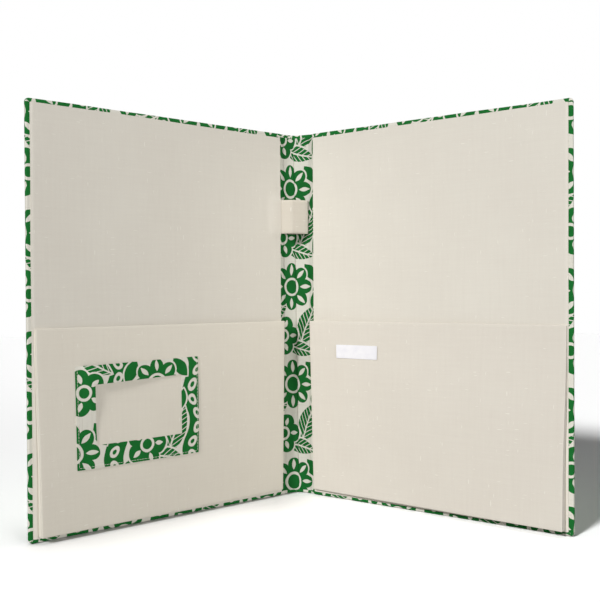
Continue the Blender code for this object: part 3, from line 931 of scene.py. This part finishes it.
def onCard(run, lift, height):
    wide, high = cardHigh[0] - cardLow[0], cardHigh[2] - cardLow[2]
    offRun, offHeight = run - (cardLow[0] + cardHigh[0]) / 2, height - (cardLow[2] + cardHigh[2]) / 2
    height += card["rise"] - offRun * math.tan(card["tilt"]) * (0.55 + 0.45 * smooth(0.5 + offHeight / high))
    fromSide, fromTop = cardHigh[0] - run, cardHigh[2] - height
    outer = smooth(0.5 + offRun / wide)
    window = 1 - smooth((offRun - wide / 2 + card["borderSide"]) / card["windowFade"])
    slope = card["lean"] + card["windowLean"] * window
    run += (offHeight / high * slope - card["narrow"] + card["windowIn"] * window) * outer
    run += card["spineSide"] * (1 - outer)
    height -= card["drop"] * smooth(0.5 - offHeight / (50 * mm))
    windowTop = high / 2 - card["borderTop"]
    height += card["drop"] * (1 - outer) * smooth(1 - abs(offHeight - windowTop) / (16 * mm))
    stand = card["standOff"] * smooth(fromSide / (18 * mm)) * smooth(1 - fromSide / card["reach"])
    stand *= smooth(1 - fromTop / (52 * mm))
    return onCover(-1, run, panelFace("front", run, height) + card["gap"] + stand + lift, height)


def makeCardFrame():
    left, right, foot, top = cardLow[0], cardHigh[0], cardLow[2], cardHigh[2]
    inLeft, inRight = left + card["borderSide"], right - card["borderSide"]
    inFoot, inTop = foot + card["borderFoot"], top - card["borderTop"]
    columns = steps(left, (inLeft, 3 * mm), (inRight, 4 * mm), (right, 3 * mm))
    rows = steps(foot, (inFoot, 3 * mm), (inTop, 4 * mm), (top, 3 * mm))
    bm = startSheet(columns, rows, 0.4 * mm)
    centres = {face: face.calc_center_median() for face in bm.faces}
    window = [face for face, c in centres.items() if inLeft < c.x < inRight and inFoot < c.z < inTop]
    bmesh.ops.delete(bm, geom=window, context="FACES")
    layFlatUv(bm, -1, card["shift"])
    for v in bm.verts:
        run, depth, height = v.co
        if abs(height - top) < 1e-6:  # the open edge is a little ragged
            height += ripple(run, 0, 4 * mm, 0.35 * mm, 5)
        v.co = onCard(run, 0, height)
    piece = finishPiece(bm, "cardFrame", card["thick"], printedCanvas)
    spreadWithPocket(piece, -1)
    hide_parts("card_frame")


def makeStitching():
    seam = card["seam"]
    left, right = cardLow[0] + seam["left"], cardHigh[0] - seam["right"]
    foot, top = cardLow[2] + seam["foot"], cardHigh[2] - seam["top"]
    corners = [Vector((x, 0, z)) for x, z in ((right, top), (right, foot), (left, foot), (left, top))]
    bm = bmesh.new()
    for start, end in zip(corners, corners[1:]):
        way = (end - start).normalized()
        turned = Vector((0, 0, 1)).rotation_difference(way).to_matrix().to_4x4()
        shaped = turned @ Matrix.Diagonal((card["thread"], card["thread"], card["stitch"], 1))
        for i in range(int((end - start).length / card["pitch"])):
            middle = Matrix.Translation(start + way * (i + 0.5) * card["pitch"])
            bmesh.ops.create_uvsphere(bm, u_segments=6, v_segments=4, radius=0.5, matrix=middle @ shaped)
    for v in bm.verts:
        v.co = onCard(v.co.x, card["thick"] / 2 + 0.06 * mm + v.co.y, v.co.z)
    piece = finishPiece(bm, "frameStitching", 0, sewingThread, 180)
    spreadWithPocket(piece, -1)


makeCardFrame()
makeStitching()
print("scene: card frame done")

# The blank label on the back pocket


def makeLabel():
    low, high = spanOf("blank_label", 1)
    columns, rows = steps(low[0], (high[0], 2 * mm)), steps(low[2], (high[2], 1.5 * mm))
    bm = startSheet(columns, rows, label["round"])
    layFlatUv(bm)
    for v in bm.verts:
        run, depth, height = v.co
        ends = abs(run - (low[0] + high[0]) / 2) / ((high[0] - low[0]) / 2)
        lift = label["lift"] + label["curl"] * ends ** 4
        v.co = onCover(1, run, panelFace("back", run, height) + lift, height)
    piece = finishPiece(bm, "blankLabel", label["thick"], labelSatin)
    spreadWithPocket(piece, 1)
    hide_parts("blank_label")


makeLabel()
print("scene: label done")

# The pen loop: one band, from under the front liner round over the spine and back along the lining


def loopLine():
    height = (loop["foot"] + loop["top"]) / 2
    under = [onCover(-1, run, loop["tailDepth"], height) for run in (loop["tail"], 8 * mm, 5 * mm, 4 * mm)]
    front = [Vector((x * mm, axisY + y * mm, height)) for x, y in (
        (-12.9, -5.7), (-10.2, -6.8), (-5.6, -8.6), (-4.4, -9.0), (-3.6, -8.8), (-1.8, -8.0), (2.5, -5.9),
        (7.0, -3.7), (9.4, -2.5), (10.1, -1.8), (9.9, -0.8),
    )]
    back = [
        onCloth(side, run * mm - halfSpine, loop["backDepth"], height)
        for side, run in ((1, 8.4), (1, 5), (1, 2.4), (-1, 0.5), (-1, 3), (-1, 6), (-1, 9))
    ]
    line = under + front + back
    for _ in range(3):  # cutting the corners again and again makes the curve
        cut = [line[0]]
        for a, b in zip(line, line[1:]):
            cut += [a.lerp(b, 0.25), a.lerp(b, 0.75)]
        line = cut + [line[-1]]
    return line


def makePenLoop():
    line = loopLine()
    lineX, lineY = np.array([p.x for p in line]), np.array([p.y for p in line])
    reach = reachAlong(lineX, lineY)
    band = (reach, lineX, lineY, np.gradient(lineX, reach), np.gradient(lineY, reach))
    inset = 0.12 * mm
    columns = steps(0, (reach[-1], 0.7 * mm))
    rows = steps(loop["foot"] + inset, (loop["top"] - inset, 2.5 * mm))
    limits = (-far, far, loop["foot"], loop["top"])
    bm = startSheet(columns, rows, inset, limits, inset)
    edges = rim(bm, lambda p: outwards(p, limits, 2 * inset).length > 0.5)
    edges = [e for e in edges if abs(e.verts[0].co.z - e.verts[1].co.z) < 1e-6]
    setAway(bm, limits, 2 * inset)
    fold = loop["fold"]
    profile = [(0.03 * mm, fold * 0.3, 0.1 * mm), (0, fold * 0.6, 0.2 * mm), (0.03 * mm, fold, 0.3 * mm)]
    profile += [(0.5 * mm, fold * 1.4, 0.8 * mm), (loop["hem"], fold * 1.4, 5.3 * mm)]
    turnIn(bm, edges, profile, limits, inset)
    layFlatUv(bm, 1, (0.2, 0.9))
    for v in bm.verts:
        run, depth, height = v.co
        v.co = (*offLine(band, run, -depth), height)
    piece = finishPiece(bm, "penLoop", loop["thick"], loopCanvasShaded, 60)
    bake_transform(piece)
    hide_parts("pen_loop", "pen_loop_tail")


makePenLoop()
print("scene: pen loop done")

# Floor, light and camera

stage = {
    "under": -0.3 * mm,  # the floor's height
    "floor": "#B4B4B2",
    "floorSeen": 1.72,  # the floor as the camera sees it, so that it meets the white behind
    "contact": 100 * mm,  # reach of the soft shade on the floor beside the object
    # The light left in that shade, left and right, and where across the floor the one gives way to the other
    "shade": (0.5, 0.82),
    "shadeEnds": (-20 * mm, 40 * mm),
    "world": 0.028,
    # Each lamp's direction, strength and size in degrees
    "keyLight": ((-0.545, -0.637, 0.545), 2.7, 10),  # front left, a third of the way up
    "fillLight": ((0.63, -0.78, 0.05), 1.92, 25),  # front right, low and wide
    "backLight": ((-0.1, 0.99, 0.03), 2.3, 10),  # behind, low, for the covers' outer faces
}


def makeFloor():
    # Seamless white paper
    material, add, surface = newMaterial("whiteBackdropPaper")
    seen = add("LightPath", {})["Is Camera Ray"]
    place = add("TexCoord", {})["Object"]
    grain = add("TexNoise", {0: place, "Scale": 900.0, "Detail": 2.0})["Fac"]
    level, (left, right) = stage["floorSeen"], stage["shadeEnds"]
    # The floor beside the object is shaded, more so at the left, where the cover hides part of the key light
    across = add("SeparateXYZ", {0: place})[0]
    shades = [level * share for share in stage["shade"]]
    least = add("MapRange", {0: across, 1: left, 2: right, 3: shades[0], 4: shades[1]})[0]
    sky = add("AmbientOcclusion", {"Distance": stage["contact"]}, samples=12)["AO"]
    shade = add("MapRange", {0: sky, 1: 0.45, 2: 0.95, 3: least, 4: level})[0]
    colour = add("Mix", {0: seen, 6: stage["floor"], 7: shade}, data_type="RGBA")[2]
    bump = add("Bump", {"Strength": 0.03, "Distance": 0.05 * mm, "Height": grain})[0]
    plug(surface, {"Base Color": colour, "Normal": bump, "Roughness": 0.95, "Specular IOR Level": 0.0})
    bm = bmesh.new()
    bmesh.ops.create_grid(bm, x_segments=8, y_segments=8, size=3, matrix=Matrix.Translation((0, 0, stage["under"])))
    floor = addMesh(bm, "floor", material)


def makeLamp(name):
    towards, strength, size = stage[name]
    light = bpy.data.lights.new(name, "SUN")
    light.energy, light.angle = strength, math.radians(size)
    lamp = addObject(name, light)
    lamp.rotation_euler = (-Vector(towards)).to_track_quat("-Z", "Y").to_euler()


def makeWorld():
    world = bpy.data.worlds.new("studio")
    world.use_nodes = True
    nodes, add = world.node_tree.nodes, addTo(world.node_tree)
    soft = nodes["Background"]
    plug(soft, {"Color": (1, 1, 1, 1), "Strength": stage["world"]})
    white = add("Background", {"Color": (1, 1, 1, 1), "Strength": 1.0})[0]
    path = add("LightPath", {})
    seen = path["Is Camera Ray"]
    for ray in ("Is Glossy Ray", "Is Transmission Ray"):
        seen = add("Math", {0: seen, 1: path[ray]}, operation="MAXIMUM")[0]
    both = add("MixShader", {0: seen, 1: soft.outputs[0], 2: white})[0]
    plug(nodes["World Output"], {"Surface": both})
    bpy.context.scene.world = world


camera = {
    "place": (-20.202 * mm, -716.588 * mm, 179.592 * mm),
    "yaw": 1.652,
    "pitch": -0.562,
    "roll": -0.319,
    "focal": 887.284,  # in pixels of the picture
    "pixels": 602,  # its longer side
}


def makeCamera():
    data = bpy.data.cameras.new("camera")
    data.sensor_width = 36
    data.lens = data.sensor_width * camera["focal"] / camera["pixels"]
    data.clip_start, data.clip_end = 0.01, 20
    yaw, pitch, roll = (math.radians(camera[key]) for key in ("yaw", "pitch", "roll"))
    ahead = Vector((math.sin(yaw) * math.cos(pitch), math.cos(yaw) * math.cos(pitch), math.sin(pitch)))
    right = Vector((math.cos(yaw), -math.sin(yaw), 0))
    up = right.cross(ahead)
    right, up = right * math.cos(roll) + up * math.sin(roll), up * math.cos(roll) - right * math.sin(roll)
    placed = Matrix((right, up, -ahead)).transposed().to_4x4()
    placed.translation = camera["place"]
    viewer = addObject("camera", data)
    viewer.matrix_world = placed
    bpy.context.scene.camera = viewer


makeFloor()
for lamp in ("keyLight", "fillLight", "backLight"):
    makeLamp(lamp)
makeWorld()
makeCamera()
bpy.context.scene.view_settings.view_transform = "Standard"
print("scene: floor, light and camera done")
